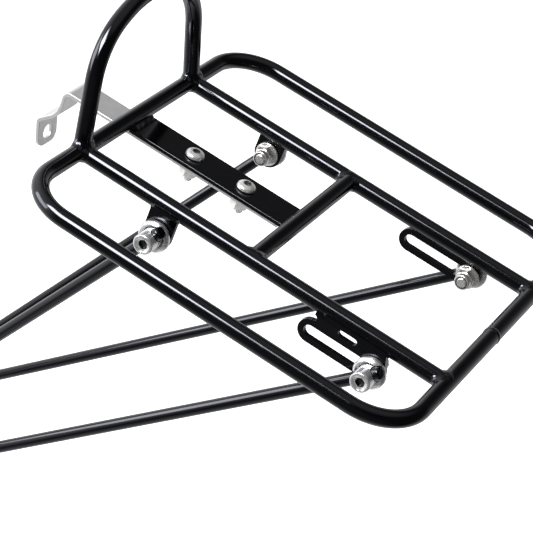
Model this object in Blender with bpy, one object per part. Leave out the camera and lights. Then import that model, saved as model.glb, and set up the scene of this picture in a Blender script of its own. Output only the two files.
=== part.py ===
"""Tubular rear bicycle rack: a welded deck with a hoop, an adjustable stay and four struts.

Frame: metres, +Z up, +X towards the rear of the bicycle, -Y its left side.
The origin is the middle of the front bar, on the tube's axis.
"""
import math

import bmesh
import bpy
from mathutils import Matrix, Vector

# ---------------------------------------------------------------- driving dimensions (metres)
GAP = 0.0003                    # left between neighbouring solids

TUBE_R = 0.00475                # every tube of the frame
TUBE_WALL = 0.0012
TUBE_SIDES = 16
DECK_LENGTH = 0.2305            # front bar to rear bar, axis to axis
DECK_HALF_WIDTH = 0.1165        # middle to outer rail, axis to axis
DECK_CORNER_R = 0.0285
RAIL_Y = 0.058                  # middle to inner rail
MID_BAR_X = 0.1105

HOOP_HEIGHT = 0.0743            # along the hoop's own plane, to the tube's axis
HOOP_LEAN = math.radians(13.0)  # forwards
HOOP_LEG_ANGLE = math.radians(8.4)
HOOP_SHOULDER_R = 0.0375
HOOP_SHOULDER_END = math.radians(62.0)

PLATE_HALF_WIDTH = 0.0112
PLATE_TOP_Z = -0.0034
PLATE_THICKNESS = 0.0025
PLATE_BOLT_X = (0.0397, 0.0739)
PLATE_BOLT_END_Z = -0.0192

STAY_HALF_WIDTH = 0.0096
STAY_THICKNESS = 0.0022
STAY_REAR_X = 0.1015
STAY_BEND_X = -0.0376           # where the stay turns down
STAY_TRAVEL = 0.015             # each way, in its slot
STAY_HOLE_R = 0.0042
STAY_TAB_LEAN = math.radians(14.5)
STAY_TAB_LENGTH = 0.0163

TAB_Y = 0.062                   # middle of a strut tab's thickness
TAB_THICKNESS = 0.003
FRONT_PIVOT = (0.0585, -0.0160)  # x, z of the bolt
REAR_PIVOT = (0.1940, -0.0148)
FRONT_TAB_R = 0.0085
SLOT_FRONT_X = 0.1555           # centre of the slot's front round end
SLOT_HALF_HEIGHT = 0.0035
SLOT_BORDER = 0.0035
WEB_FRONT_X = 0.1565            # front edge of the web between slot and rail
RELIEF_X = (0.1715, 0.1790)     # centres of the round ends of the small hole
RELIEF_Z = -0.0056
RELIEF_R = 0.0020

M6_R = 0.003
M6_CLEAR_R = 0.00335
STRUT_Y = 0.0692                # middle to strut axis, at the bolt
STRUT_R = 0.0035
STRUT_ANGLE_FRONT = math.radians(29.2)   # from straight down, towards the front
STRUT_ANGLE_REAR = math.radians(43.6)
STRUT_SPLAY_FRONT = math.radians(4.5)    # the front struts lean in towards the wheel
STRUT_STUB = 0.009              # stands out above the bolt
STRUT_LENGTH_FRONT = 0.355      # bolt to foot hole
STRUT_LENGTH_REAR = 0.395
FOOT_R = 0.0075
FOOT_THICKNESS = 0.003
FOOT_HOLE_R = 0.0032

HEAD_R = 0.0058
HEAD_END_Y = 0.0780             # outer face of the eyebolt's head
HEAD_ROOT_Y = 0.0653
CROSS_HOLE_R = 0.00385
BOLT_TIP_Y = 0.0505
WASHER_R = 0.0092
WASHER_OUT_Y = 0.0683
WASHER_GROOVE_R = 0.0039

BLACK_PAINT = ("black_paint", (0.010, 0.011, 0.013), 0.18, 0.0)
BRIGHT_STEEL = ("bright_steel", (0.74, 0.74, 0.75), 0.16, 1.0)
SATIN_STEEL = ("satin_steel", (0.60, 0.60, 0.60), 0.38, 1.0)


# ---------------------------------------------------------------- helpers
def clear_scene():
    for obj in list(bpy.data.objects):
        bpy.data.objects.remove(obj, do_unlink=True)


def material(spec):
    name, colour, roughness, metallic = spec
    mat = bpy.data.materials.get(name)
    if mat is None:
        mat = bpy.data.materials.new(name)
        mat.use_nodes = True
        shader = mat.node_tree.nodes["Principled BSDF"]
        shader.inputs["Base Color"].default_value = (*colour, 1.0)
        shader.inputs["Roughness"].default_value = roughness
        shader.inputs["Metallic"].default_value = metallic
    return mat


def add_object(name, bm, spec):
    """Turn a bmesh into a named object whose faces point out."""
    bmesh.ops.recalc_face_normals(bm, faces=bm.faces)
    mesh = bpy.data.meshes.new(name)
    bm.to_mesh(mesh)
    bm.free()
    mesh.shade_smooth()
    mesh.set_sharp_from_angle(angle=math.radians(35))
    obj = bpy.data.objects.new(name, mesh)
    bpy.context.collection.objects.link(obj)
    if spec is not None:
        mesh.materials.append(material(spec))
    return obj


def add_cutter(name, bm):
    obj = add_object(name, bm, None)
    obj.hide_render = True
    obj.display_type = "WIRE"
    return obj


def cut(obj, cutter):
    modifier = obj.modifiers.new("cut_" + cutter.name, "BOOLEAN")
    modifier.operation = "DIFFERENCE"
    modifier.solver = "EXACT"
    modifier.object = cutter


def bridge(bm, ring_a, ring_b):
    count = len(ring_a)
    for i in range(count):
        j = (i + 1) % count
        bm.faces.new((ring_a[i], ring_a[j], ring_b[j], ring_b[i]))


def hexagon(across_flats):
    """Radius of a hexagon at an angle, for a ring of points."""
    def radius(angle):
        return across_flats / 2 / math.cos((angle + math.pi / 6) % (math.pi / 3) - math.pi / 6)
    return radius


def turned(stations, sides=24, hollow=False):
    """Rings about +Z. A station is (height, radius), where the radius is a number or a function.

    A hollow piece's stations run right round its section, so the last joins the first."""
    bm = bmesh.new()
    rings = []
    for height, radius in stations:
        ring = []
        for i in range(sides):
            angle = 2 * math.pi * i / sides
            r = radius(angle) if callable(radius) else radius
            ring.append(bm.verts.new((r * math.cos(angle), r * math.sin(angle), height)))
        rings.append(ring)
    for ring_a, ring_b in zip(rings, rings[1:]):
        bridge(bm, ring_a, ring_b)
    if hollow:
        bridge(bm, rings[-1], rings[0])
    else:
        bm.faces.new(list(reversed(rings[0])))
        bm.faces.new(rings[-1])
    return bm


def rod(start, end, radius, sides=24):
    """A plain round bar between two points, for cutting."""
    start, end = Vector(start), Vector(end)
    bm = turned([(0.0, radius), ((end - start).length, radius)], sides)
    turn = (end - start).to_track_quat("Z", "X").to_matrix().to_4x4()
    bmesh.ops.transform(bm, matrix=Matrix.Translation(start) @ turn, verts=bm.verts)
    return bm


def tube_along(path, outer_r, inner_r, side_axis, sides=TUBE_SIDES):
    """An open-ended tube along a flat path whose plane has the normal side_axis."""
    bm = bmesh.new()
    side_axis = Vector(side_axis).normalized()
    rings = {outer_r: [], inner_r: []}
    for i, point in enumerate(path):
        ahead = path[min(i + 1, len(path) - 1)] - point
        behind = point - path[max(i - 1, 0)]
        tangent = (ahead.normalized() + behind.normalized()).normalized()
        across = side_axis.cross(tangent).normalized()
        for radius, found in rings.items():
            ring = []
            for k in range(sides):
                angle = 2 * math.pi * (k + 0.5) / sides
                offset = across * math.cos(angle) + side_axis * math.sin(angle)
                ring.append(bm.verts.new(point + offset * radius))
            found.append(ring)
    outer, inner = rings[outer_r], rings[inner_r]
    for i in range(len(path) - 1):
        bridge(bm, outer[i], outer[i + 1])
        bridge(bm, inner[i + 1], inner[i])
    bridge(bm, inner[0], outer[0])
    bridge(bm, outer[-1], inner[-1])
    return bm


def arc(centre, radius, start, end, steps):
    """Points on an arc as (u, v) pairs, both ends included."""
    angles = [start + (end - start) * i / steps for i in range(steps + 1)]
    return [(centre[0] + radius * math.cos(a), centre[1] + radius * math.sin(a)) for a in angles]


def plate(outline, y_from, y_to):
    """A flat plate in the x-z plane, from one y to another."""
    bm = bmesh.new()
    near = [bm.verts.new((x, y_from, z)) for x, z in outline]
    far = [bm.verts.new((x, y_to, z)) for x, z in outline]
    bm.faces.new(near)
    bm.faces.new(list(reversed(far)))
    bridge(bm, near, far)
    return bm


def slot_outline(front_x, rear_x, z, radius, steps=8):
    rear = arc((rear_x, z), radius, -math.pi / 2, math.pi / 2, steps)
    front = arc((front_x, z), radius, math.pi / 2, 3 * math.pi / 2, steps)
    return rear + front


# ---------------------------------------------------------------- welded frame
def deck_loop():
    """Outer tube, bent from one length whose ends meet in the middle of the rear bar."""
    r, far_x, side_y = DECK_CORNER_R, DECK_LENGTH, DECK_HALF_WIDTH
    steps = 7
    corners = (
        ((far_x - r, side_y - r), 0.0),
        ((r, side_y - r), math.pi / 2),
        ((r, r - side_y), math.pi),
        ((far_x - r, r - side_y), 3 * math.pi / 2),
    )
    points = [(far_x, GAP / 2)]
    for centre, start in corners:
        points += arc(centre, r, start, start + math.pi / 2, steps)
    points.append((far_x, -GAP / 2))
    path = [Vector((x, y, 0.0)) for x, y in points]
    bm = tube_along(path, TUBE_R, TUBE_R - TUBE_WALL, (0, 0, 1))
    return add_object("deck_loop", bm, BLACK_PAINT)


def straight_tube(name, start, end, cutters):
    """A tube whose ends are shaped to the round bars that it is welded to."""
    path = [Vector(start), Vector(end)]
    side_axis = (0, 0, 1)
    bm = tube_along(path, TUBE_R, TUBE_R - TUBE_WALL, side_axis)
    obj = add_object(name, bm, BLACK_PAINT)
    for cutter in cutters:
        cut(obj, cutter)
    return obj


def hoop(cutters):
    """Three-centred arch in a plane that leans forwards from the front bar."""
    leg, turn_end, shoulder_r = HOOP_LEG_ANGLE, HOOP_SHOULDER_END, HOOP_SHOULDER_R
    shoulder_in = shoulder_r * (math.cos(leg) - math.cos(turn_end))
    shoulder_up = shoulder_r * (math.sin(turn_end) - math.sin(leg))
    # The leg's length and the crown's radius follow from the height and the half width.
    in_left = RAIL_Y - shoulder_in
    up_left = HOOP_HEIGHT - shoulder_up
    crown_up = 1 - math.sin(turn_end)
    crown_r = (in_left * math.cos(leg) - up_left * math.sin(leg)) / (
        math.cos(turn_end) * math.cos(leg) - crown_up * math.sin(leg))
    leg_length = (up_left - crown_r * crown_up) / math.cos(leg)

    half = [(RAIL_Y, 0.0)]
    leg_top = (RAIL_Y - leg_length * math.sin(leg), leg_length * math.cos(leg))
    shoulder_centre = (leg_top[0] - shoulder_r * math.cos(leg), leg_top[1] - shoulder_r * math.sin(leg))
    half += arc(shoulder_centre, shoulder_r, leg, turn_end, 6)
    half += arc((0.0, HOOP_HEIGHT - crown_r), crown_r, turn_end, math.pi / 2, 4)[1:]
    outline = half + [(-y, h) for y, h in reversed(half[:-1])]

    up = Vector((-math.sin(HOOP_LEAN), 0.0, math.cos(HOOP_LEAN)))
    path = [Vector((0.0, y, 0.0)) + up * h for y, h in outline]
    normal = Vector((0, 1, 0)).cross(up)
    bm = tube_along(path, TUBE_R, TUBE_R - TUBE_WALL, normal)
    obj = add_object("hoop", bm, BLACK_PAINT)
    for cutter in cutters:
        cut(obj, cutter)
    return obj


def centre_plate():
    end_clear = math.sqrt((TUBE_R + GAP) ** 2 - PLATE_TOP_Z ** 2)
    x_from, x_to = end_clear, MID_BAR_X - end_clear
    bottom = PLATE_TOP_Z - PLATE_THICKNESS
    outline = [(x_from, bottom), (x_to, bottom), (x_to, PLATE_TOP_Z), (x_from, PLATE_TOP_Z)]
    bm = plate(outline, -PLATE_HALF_WIDTH, PLATE_HALF_WIDTH)
    obj = add_object("centre_plate", bm, BLACK_PAINT)
    for i, x in enumerate(PLATE_BOLT_X):
        hole = rod((x, 0, bottom - 0.001), (x, 0, PLATE_TOP_Z + 0.001), M6_CLEAR_R)
        cut(obj, add_cutter(f"plate_hole_{i}", hole))
    return obj


def tab_faces(side):
    """The tab's two y faces, low one first."""
    faces = (side * (TAB_Y - TAB_THICKNESS / 2), side * (TAB_Y + TAB_THICKNESS / 2))
    return min(faces), max(faces)


def front_tab(side, label, rail_cutter):
    """U-shaped plate with one bolt hole; its top edge follows the underside of the rail."""
    x, z = FRONT_PIVOT
    r = FRONT_TAB_R
    foot = 0.0025               # the foot widens in a fillet where it meets the rail
    top = -0.0010
    outline = arc((x - r - foot, top - foot), foot, math.pi / 2, 0.0, 4)
    outline += arc((x, z), r, math.pi, 2 * math.pi, 14)
    outline += arc((x + r + foot, top - foot), foot, math.pi, math.pi / 2, 4)
    low_y, high_y = tab_faces(side)
    obj = add_object(f"{label}_front_tab", plate(outline, low_y, high_y), BLACK_PAINT)
    cut(obj, rail_cutter)
    hole = rod((x, low_y - 0.001, z), (x, high_y + 0.001, z), M6_CLEAR_R)
    cut(obj, add_cutter(f"{label}_front_tab_hole", hole))
    return obj


def slotted_tab(side, label, rail_cutter):
    """Plate with a long slot for the rear bolt, a small relief hole and a notch at its front end."""
    rear_x, z = REAR_PIVOT
    r = SLOT_HALF_HEIGHT + SLOT_BORDER
    top = -0.0010
    notch_r = 0.0018
    race_top = z + r
    notch_z = race_top + notch_r
    outline = arc((SLOT_FRONT_X, z), r, math.pi / 2, 3 * math.pi / 2, 10)
    outline += arc((rear_x, z), r, -math.pi / 2, 0.35, 8)
    outline += [(rear_x + 0.0035, top)]
    outline += [(WEB_FRONT_X - notch_r, top)]
    outline += arc((WEB_FRONT_X - notch_r, notch_z), notch_r, math.pi / 2, -math.pi / 2, 6)
    low_y, high_y = tab_faces(side)
    obj = add_object(f"{label}_slotted_tab", plate(outline, low_y, high_y), BLACK_PAINT)
    cut(obj, rail_cutter)
    slot = slot_outline(SLOT_FRONT_X, rear_x + 0.0005, z, SLOT_HALF_HEIGHT)
    cut(obj, add_cutter(f"{label}_slot", plate(slot, low_y - 0.001, high_y + 0.001)))
    relief = slot_outline(RELIEF_X[0], RELIEF_X[1], RELIEF_Z, RELIEF_R, 6)
    cut(obj, add_cutter(f"{label}_relief", plate(relief, low_y - 0.001, high_y + 0.001)))
    return obj


# ---------------------------------------------------------------- stay
def stay_top_z():
    return PLATE_TOP_Z - PLATE_THICKNESS - GAP


def stay_line():
    """Middle of the stay's thickness, from its rear end to the end of its tab, as (x, z)."""
    z = stay_top_z() - STAY_THICKNESS / 2
    bend_r, sweep_r, tab_r = 0.0035, 0.013, 0.0030
    steep = math.radians(90.0)      # heading, measured downwards from straight ahead
    shallow = math.radians(43.0)
    tab_heading = math.radians(90.0) + STAY_TAB_LEAN
    line = [(STAY_REAR_X, z), (STAY_BEND_X, z)]
    heading = 0.0

    def walk(radius, target, steps):
        """Turn to a new heading on an arc; a heading of 0 points to -X."""
        nonlocal heading
        change = (target - heading) / steps
        chord = 2 * radius * abs(math.sin(change / 2))
        for _ in range(steps):
            middle = heading + change / 2
            x, y = line[-1]
            line.append((x - chord * math.cos(middle), y - chord * math.sin(middle)))
            heading += change

    def straight(length):
        x, y = line[-1]
        line.append((x - length * math.cos(heading), y - length * math.sin(heading)))

    walk(bend_r, steep, 6)
    straight(0.0062)
    walk(sweep_r, shallow, 6)
    straight(0.0074)
    walk(tab_r, tab_heading, 5)
    straight(STAY_TAB_LENGTH)
    return line


def offset_line(line, distance):
    """The line moved sideways, keeping the same distance at its corners."""
    moved = []
    for i, (x, z) in enumerate(line):
        ahead = Vector(line[min(i + 1, len(line) - 1)]) - Vector((x, z))
        behind = Vector((x, z)) - Vector(line[max(i - 1, 0)])
        ahead = ahead.normalized() if ahead.length else behind.normalized()
        behind = behind.normalized() if behind.length else ahead
        tangent = (ahead + behind).normalized()
        stretch = 1 / max(tangent.dot(ahead), 0.5)
        moved.append((x - tangent.y * distance * stretch, z + tangent.x * distance * stretch))
    return moved


def stay():
    line = stay_line()
    half = STAY_THICKNESS / 2
    outline = offset_line(line, half) + list(reversed(offset_line(line, -half)))
    obj = add_object("stay", plate(outline, -STAY_HALF_WIDTH, STAY_HALF_WIDTH), SATIN_STEEL)

    z = line[0][1]
    first, last = PLATE_BOLT_X[0] - STAY_TRAVEL, PLATE_BOLT_X[1] + STAY_TRAVEL
    slot = bmesh.new()
    rim = [(x, y) for x, y in slot_outline(first, last, 0.0, M6_CLEAR_R)]
    low = [slot.verts.new((x, y, z - 0.003)) for x, y in rim]
    high = [slot.verts.new((x, y, z + 0.003)) for x, y in rim]
    slot.faces.new(low)
    slot.faces.new(list(reversed(high)))
    bridge(slot, low, high)
    cut(obj, add_cutter("stay_slot", slot))

    end = Vector((line[-1][0], 0.0, line[-1][1]))
    down = (end - Vector((line[-2][0], 0.0, line[-2][1]))).normalized()
    normal = Vector((0, 1, 0)).cross(down)
    hole_at = end - down * 0.0075
    hole = rod(hole_at - normal * 0.004, hole_at + normal * 0.004, STAY_HOLE_R, 20)
    cut(obj, add_cutter("stay_hole", hole))

    # The tab's lower corners are rounded off.
    corner_r = 0.006
    for side, name in ((-1, "left"), (1, "right")):
        centre = (STAY_HALF_WIDTH - corner_r, -corner_r)
        edge = arc(centre, corner_r, 0.0, math.pi / 2, 6)
        spare = 0.002
        edge += [(STAY_HALF_WIDTH - corner_r, spare), (STAY_HALF_WIDTH + spare, spare),
                 (STAY_HALF_WIDTH + spare, -corner_r)]
        corner = bmesh.new()
        rims = []
        for depth in (-0.004, 0.004):
            rims.append([corner.verts.new(end + Vector((0, side, 0)) * across + down * along + normal * depth)
                         for across, along in edge])
        corner.faces.new(rims[0])
        corner.faces.new(list(reversed(rims[1])))
        bridge(corner, rims[0], rims[1])
        cut(obj, add_cutter(f"stay_corner_{name}", corner))
    return obj


def plate_fasteners():
    """Button-head bolt, washer and nut at each of the two holes in the centre plate."""
    stay_bottom = stay_top_z() - STAY_THICKNESS
    washer_top = stay_bottom - GAP
    washer_bottom = washer_top - 0.0014
    nut_top = washer_bottom - GAP
    nut_bottom = nut_top - 0.005
    for x, label in zip(PLATE_BOLT_X, ("front", "rear")):
        head = PLATE_TOP_Z + GAP
        socket = hexagon(0.004)
        bolt = turned([
            (PLATE_BOLT_END_Z, M6_R - 0.0006), (PLATE_BOLT_END_Z + 0.0006, M6_R), (head, M6_R),
            (head, 0.0054), (head + 0.0006, 0.00545), (head + 0.0018, 0.0047), (head + 0.0027, 0.0036),
            (head + 0.0031, 0.0026), (head + 0.0031, socket), (head + 0.0012, socket)])
        obj = add_object(f"plate_bolt_{label}", bolt, BRIGHT_STEEL)
        obj.location = (x, 0, 0)
        washer = turned([(washer_bottom, 0.006), (washer_top, 0.006), (washer_top, M6_CLEAR_R),
                         (washer_bottom, M6_CLEAR_R)], hollow=True)
        obj = add_object(f"plate_washer_{label}", washer, BRIGHT_STEEL)
        obj.location = (x, 0, 0)
        wrench = hexagon(0.010)
        nut = turned([(nut_bottom, 0.0047), (nut_bottom + 0.0006, wrench), (nut_top, wrench),
                      (nut_top, M6_CLEAR_R), (nut_bottom, M6_CLEAR_R)], hollow=True)
        obj = add_object(f"plate_nut_{label}", nut, BRIGHT_STEEL)
        obj.location = (x, 0, 0)


# ---------------------------------------------------------------- strut sets
def strut_direction(side, angle, splay):
    """Unit vector up along a strut: it runs down to the front, and a splayed one leans inwards."""
    out = side * math.sin(splay)
    flat = math.cos(splay)
    return Vector((flat * math.sin(angle), out, flat * math.cos(angle)))


def out_of_tab(side):
    """Turns +Z, along which pieces are turned, to point outwards from the tab."""
    return Matrix.Rotation(-side * math.pi / 2, 4, "X")


def strut(name, side, pivot, angle, splay, length):
    """Round rod with a rounded upper end, pressed flat into an eye at its foot."""
    bm = bmesh.new()
    flat_half = FOOT_THICKNESS / 2
    eye_z = -length
    press_start, press_end = eye_z + 0.028, eye_z + 0.012
    stations = [(STRUT_STUB, 0.0022, 0.0022, 2.0), (STRUT_STUB - 0.0008, STRUT_R, STRUT_R, 2.0)]
    stations.append((press_start, STRUT_R, STRUT_R, 2.0))
    steps = 5
    for i in range(1, steps + 1):
        t = i / steps
        ease = t * t * (3 - 2 * t)
        half_width = STRUT_R + (FOOT_R * 0.92 - STRUT_R) * ease
        half_depth = STRUT_R + (flat_half - STRUT_R) * ease
        stations.append((press_start + (press_end - press_start) * t, half_width, half_depth, 2 + 2 * ease))
    for i in range(9):
        turn = math.radians(-10 + 90 * i / 8)
        stations.append((eye_z - FOOT_R * math.sin(turn), FOOT_R * math.cos(turn), flat_half, 4.0))
    sides = 20
    rings = []
    for z, half_width, half_depth, power in stations:
        ring = []
        for k in range(sides):
            a = 2 * math.pi * (k + 0.5) / sides
            c, s = math.cos(a), math.sin(a)
            x = math.copysign(abs(c) ** (2 / power), c) * half_width
            y = math.copysign(abs(s) ** (2 / power), s) * half_depth
            ring.append(bm.verts.new((x, y, z)))
        rings.append(ring)
    for ring_a, ring_b in zip(rings, rings[1:]):
        bridge(bm, ring_a, ring_b)
    bm.faces.new(rings[0])
    bm.faces.new(list(reversed(rings[-1])))
    obj = add_object(name, bm, BLACK_PAINT)
    eye_hole = add_cutter(name + "_eye", rod((0, -0.01, eye_z), (0, 0.01, eye_z), FOOT_HOLE_R, 20))
    cut(obj, eye_hole)
    # The rod lies along its local Z, and its flat foot faces sideways.
    up = strut_direction(side, angle, splay)
    flat_normal = Vector((0, 1, 0)) - up * up.y
    flat_normal.normalize()
    turn = Matrix((flat_normal.cross(up), flat_normal, up)).transposed().to_4x4()
    place = Matrix.Translation((pivot[0], side * STRUT_Y, pivot[1])) @ turn
    obj.matrix_world = place
    eye_hole.matrix_world = place
    return obj


def strut_set(side, label, end, pivot, angle, splay, length):
    """Eyebolt, grooved washer, lock nut and strut of one corner."""
    x, z = pivot
    outward = out_of_tab(side)
    up = strut_direction(side, angle, splay)
    middle = Vector((x, side * STRUT_Y, z))
    tab_in, tab_out = TAB_Y - TAB_THICKNESS / 2, TAB_Y + TAB_THICKNESS / 2
    reach = 0.012

    socket = hexagon(0.0050)
    eyebolt = turned([
        (BOLT_TIP_Y, M6_R - 0.0007), (BOLT_TIP_Y + 0.0007, M6_R), (HEAD_ROOT_Y, M6_R),
        (HEAD_ROOT_Y, HEAD_R), (HEAD_END_Y - 0.0006, HEAD_R), (HEAD_END_Y, HEAD_R - 0.0006),
        (HEAD_END_Y, socket), (HEAD_END_Y - 0.0035, socket)])
    obj = add_object(f"{label}_{end}_eyebolt", eyebolt, BRIGHT_STEEL)
    obj.matrix_world = Matrix.Translation((x, 0, z)) @ outward
    cross_hole = rod(middle - up * reach, middle + up * reach, CROSS_HOLE_R, 20)
    cut(obj, add_cutter(f"{label}_{end}_cross_hole", cross_hole))

    washer_in = tab_out + GAP
    recess_r = HEAD_R + 0.0004
    recess_floor = HEAD_ROOT_Y - GAP
    washer = turned([
        (washer_in, WASHER_R), (WASHER_OUT_Y - 0.0008, WASHER_R), (WASHER_OUT_Y, WASHER_R - 0.0008),
        (WASHER_OUT_Y, recess_r), (recess_floor, recess_r), (recess_floor, M6_CLEAR_R),
        (washer_in, M6_CLEAR_R)], hollow=True)
    obj = add_object(f"{label}_{end}_grooved_washer", washer, BRIGHT_STEEL)
    obj.matrix_world = Matrix.Translation((x, 0, z)) @ outward
    groove = rod(middle - up * 0.02, middle + up * 0.02, WASHER_GROOVE_R, 20)
    cut(obj, add_cutter(f"{label}_{end}_groove", groove))

    flange_y = tab_in - GAP
    wrench = hexagon(0.010)
    nut = turned([
        (flange_y, 0.0071), (flange_y - 0.0010, 0.0071), (flange_y - 0.0026, wrench),
        (flange_y - 0.0062, wrench), (flange_y - 0.0068, 0.0047), (flange_y - 0.0084, 0.0045),
        (flange_y - 0.0091, 0.0038), (flange_y - 0.0091, M6_CLEAR_R), (flange_y, M6_CLEAR_R)], hollow=True)
    obj = add_object(f"{label}_{end}_lock_nut", nut, BRIGHT_STEEL)
    obj.matrix_world = Matrix.Translation((x, 0, z)) @ outward

    strut(f"{label}_{end}_strut", side, pivot, angle, splay, length)


# ---------------------------------------------------------------- assembly
def build():
    clear_scene()
    clear_r = TUBE_R + GAP
    wide = DECK_HALF_WIDTH
    front_bar = add_cutter("front_bar_clearance", rod((0, -wide, 0), (0, wide, 0), clear_r))
    rear_bar = add_cutter("rear_bar_clearance", rod((DECK_LENGTH, -wide, 0), (DECK_LENGTH, wide, 0), clear_r))
    rails = {}
    for side, label in ((-1, "left"), (1, "right")):
        y = side * RAIL_Y
        rails[side] = add_cutter(f"{label}_rail_clearance", rod((0, y, 0), (DECK_LENGTH, y, 0), clear_r))

    deck_loop()
    for side, label in ((-1, "left"), (1, "right")):
        y = side * RAIL_Y
        straight_tube(f"{label}_rail", (0, y, 0), (DECK_LENGTH, y, 0), (front_bar, rear_bar))
        front_tab(side, label, rails[side])
        slotted_tab(side, label, rails[side])
        strut_set(side, label, "front", FRONT_PIVOT, STRUT_ANGLE_FRONT, STRUT_SPLAY_FRONT, STRUT_LENGTH_FRONT)
        strut_set(side, label, "rear", REAR_PIVOT, STRUT_ANGLE_REAR, 0.0, STRUT_LENGTH_REAR)
    straight_tube("mid_crossbar", (MID_BAR_X, -RAIL_Y, 0), (MID_BAR_X, RAIL_Y, 0), (rails[-1], rails[1]))
    hoop((front_bar, rails[-1], rails[1]))
    centre_plate()
    stay()
    plate_fasteners()


build()
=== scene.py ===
"""Looks of the tubular bicycle rack: fine meshes, welds, fasteners, paint and studio.

Frame: metres, +Z up, +X towards the rear of the bicycle, -Y its left side.
"""
import math

import bmesh
import bpy
import numpy as np
from mathutils import Matrix, Vector


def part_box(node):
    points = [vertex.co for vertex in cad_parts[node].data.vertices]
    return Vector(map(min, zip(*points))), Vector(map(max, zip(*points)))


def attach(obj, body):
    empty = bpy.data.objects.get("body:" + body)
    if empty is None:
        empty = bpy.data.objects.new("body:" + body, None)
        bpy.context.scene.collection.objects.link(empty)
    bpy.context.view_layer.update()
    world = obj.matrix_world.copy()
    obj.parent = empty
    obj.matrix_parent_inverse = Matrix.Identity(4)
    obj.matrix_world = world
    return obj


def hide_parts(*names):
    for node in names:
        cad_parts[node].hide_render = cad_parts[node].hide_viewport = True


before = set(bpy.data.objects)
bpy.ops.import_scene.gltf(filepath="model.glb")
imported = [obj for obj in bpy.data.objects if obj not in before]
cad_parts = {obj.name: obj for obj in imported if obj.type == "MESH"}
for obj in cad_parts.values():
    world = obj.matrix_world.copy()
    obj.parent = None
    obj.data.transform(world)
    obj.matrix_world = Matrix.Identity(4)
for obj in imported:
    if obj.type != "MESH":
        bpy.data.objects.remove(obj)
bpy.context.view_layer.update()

# ---------------------------------------------------------------- sizes, as in the CAD model (metres)
MM = 0.001
UM = 0.000001
TUBE_R = 4.75 * MM
CORNER_R = 28.5 * MM
HOOP_LEAN = math.radians(13.0)
HOOP_LEG_ANGLE = math.radians(8.4)
HOOP_SHOULDER_R = 37.5 * MM
HOOP_SHOULDER_END = math.radians(62.0)
HOOP_HEIGHT = 74.3 * MM
STAY_TAB_LEAN = math.radians(14.5)
TAB_HALF_THICKNESS = 1.5 * MM
TAB_TOP_Z = -1.0 * MM
FRONT_TAB_R = 8.5 * MM
FRONT_TAB_FLARE = 2.5 * MM
SLOT_HALF_HEIGHT = 3.5 * MM
SLOT_BORDER = 3.5 * MM
STRUT_R = 3.5 * MM
FOOT_R = 7.5 * MM
FOOT_THICKNESS = 3.0 * MM
STRUT_Y = 69.2 * MM
STRUT_STUB = 9.0 * MM
STRUT_SETS = {  # end: (lean towards the front, splay, bolt to foot hole)
    "front": (math.radians(29.2), math.radians(4.5), 355.0 * MM),
    "rear": (math.radians(43.6), 0.0, 395.0 * MM),
}
STAY_THICKNESS = 2.2 * MM
M6_R = 3.0 * MM
M6_FLATS = 10.0 * MM
M6_CLEARANCE_R = 3.35 * MM
POINT = 0.0001 * MM  # radius of a ring that closes to a point
SIDES = ((-1, "left"), (1, "right"))
FLOOR_DROP = 95.0 * MM  # room for the struts to hang straight down


def middle(node):
    low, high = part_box(node)
    return (low + high) / 2


FLAT_R = TUBE_R * math.cos(math.pi / 16)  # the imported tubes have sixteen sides
DECK_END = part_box("deck_loop")[1].x - FLAT_R
DECK_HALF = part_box("deck_loop")[1].y - FLAT_R
RAIL_Y = middle("right_rail").y
MID_BAR_X = middle("mid_crossbar").x
TAB_Y = middle("right_front_tab").y
PLATE_LOW, PLATE_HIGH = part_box("centre_plate")
STAY_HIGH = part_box("stay")[1]
PIVOTS = {end: middle(f"right_{end}_lock_nut") for end in STRUT_SETS}


# ---------------------------------------------------------------- small geometry helpers
def unit(vectors):
    vectors = np.asarray(vectors, float)
    return vectors / np.linalg.norm(vectors, axis=-1, keepdims=True)


def grid(points, around=True, closed=False, caps=True):
    """Faces between the rows of a (rows, columns, 3) array of points."""
    rows, columns, _ = points.shape
    faces = []
    for i in range(rows if closed else rows - 1):
        a, b = i * columns, (i + 1) % rows * columns
        for j in range(columns if around else columns - 1):
            k = (j + 1) % columns
            faces.append((a + j, a + k, b + k, b + j))
    if caps and around and not closed:
        faces.append(tuple(reversed(range(columns))))
        faces.append(tuple(range((rows - 1) * columns, rows * columns)))
    return points.reshape(-1, 3), faces


def joined(*shapes):
    points, faces, count = [], [], 0
    for some_points, some_faces in shapes:
        points.append(np.asarray(some_points, float))
        faces += [tuple(v + count for v in face) for face in some_faces]
        count += len(some_points)
    return np.vstack(points), faces


def arc(centre, radius, start, end, steps):
    angles = np.linspace(start, end, steps + 1)
    return [(centre[0] + radius * math.cos(a), centre[1] + radius * math.sin(a)) for a in angles]


def rounded(corners, steps=4, closed=False):
    """A flat line through corners given as (u, v, radius), each turned on an arc of its radius."""
    line = []
    count = len(corners)
    for i, (u, v, radius) in enumerate(corners):
        if radius <= 0 or (not closed and i in (0, count - 1)):
            line.append((u, v))
            continue
        here = np.array((u, v))
        to_last = unit(np.array(corners[i - 1][:2]) - here)
        to_next = unit(np.array(corners[(i + 1) % count][:2]) - here)
        half = math.acos(max(-1.0, min(1.0, float(to_last @ to_next)))) / 2
        if half > math.pi / 2 - 0.01:
            line.append((u, v))
            continue
        centre = here + unit(to_last + to_next) * radius / math.sin(half)
        start = here + to_last * radius / math.tan(half) - centre
        end = here + to_next * radius / math.tan(half) - centre
        turn = math.pi - 2 * half
        for k in range(steps + 1):
            t = k / steps
            mixed = math.sin((1 - t) * turn) * start + math.sin(t * turn) * end
            line.append(tuple(centre + mixed / math.sin(turn)))
    return line


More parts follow.
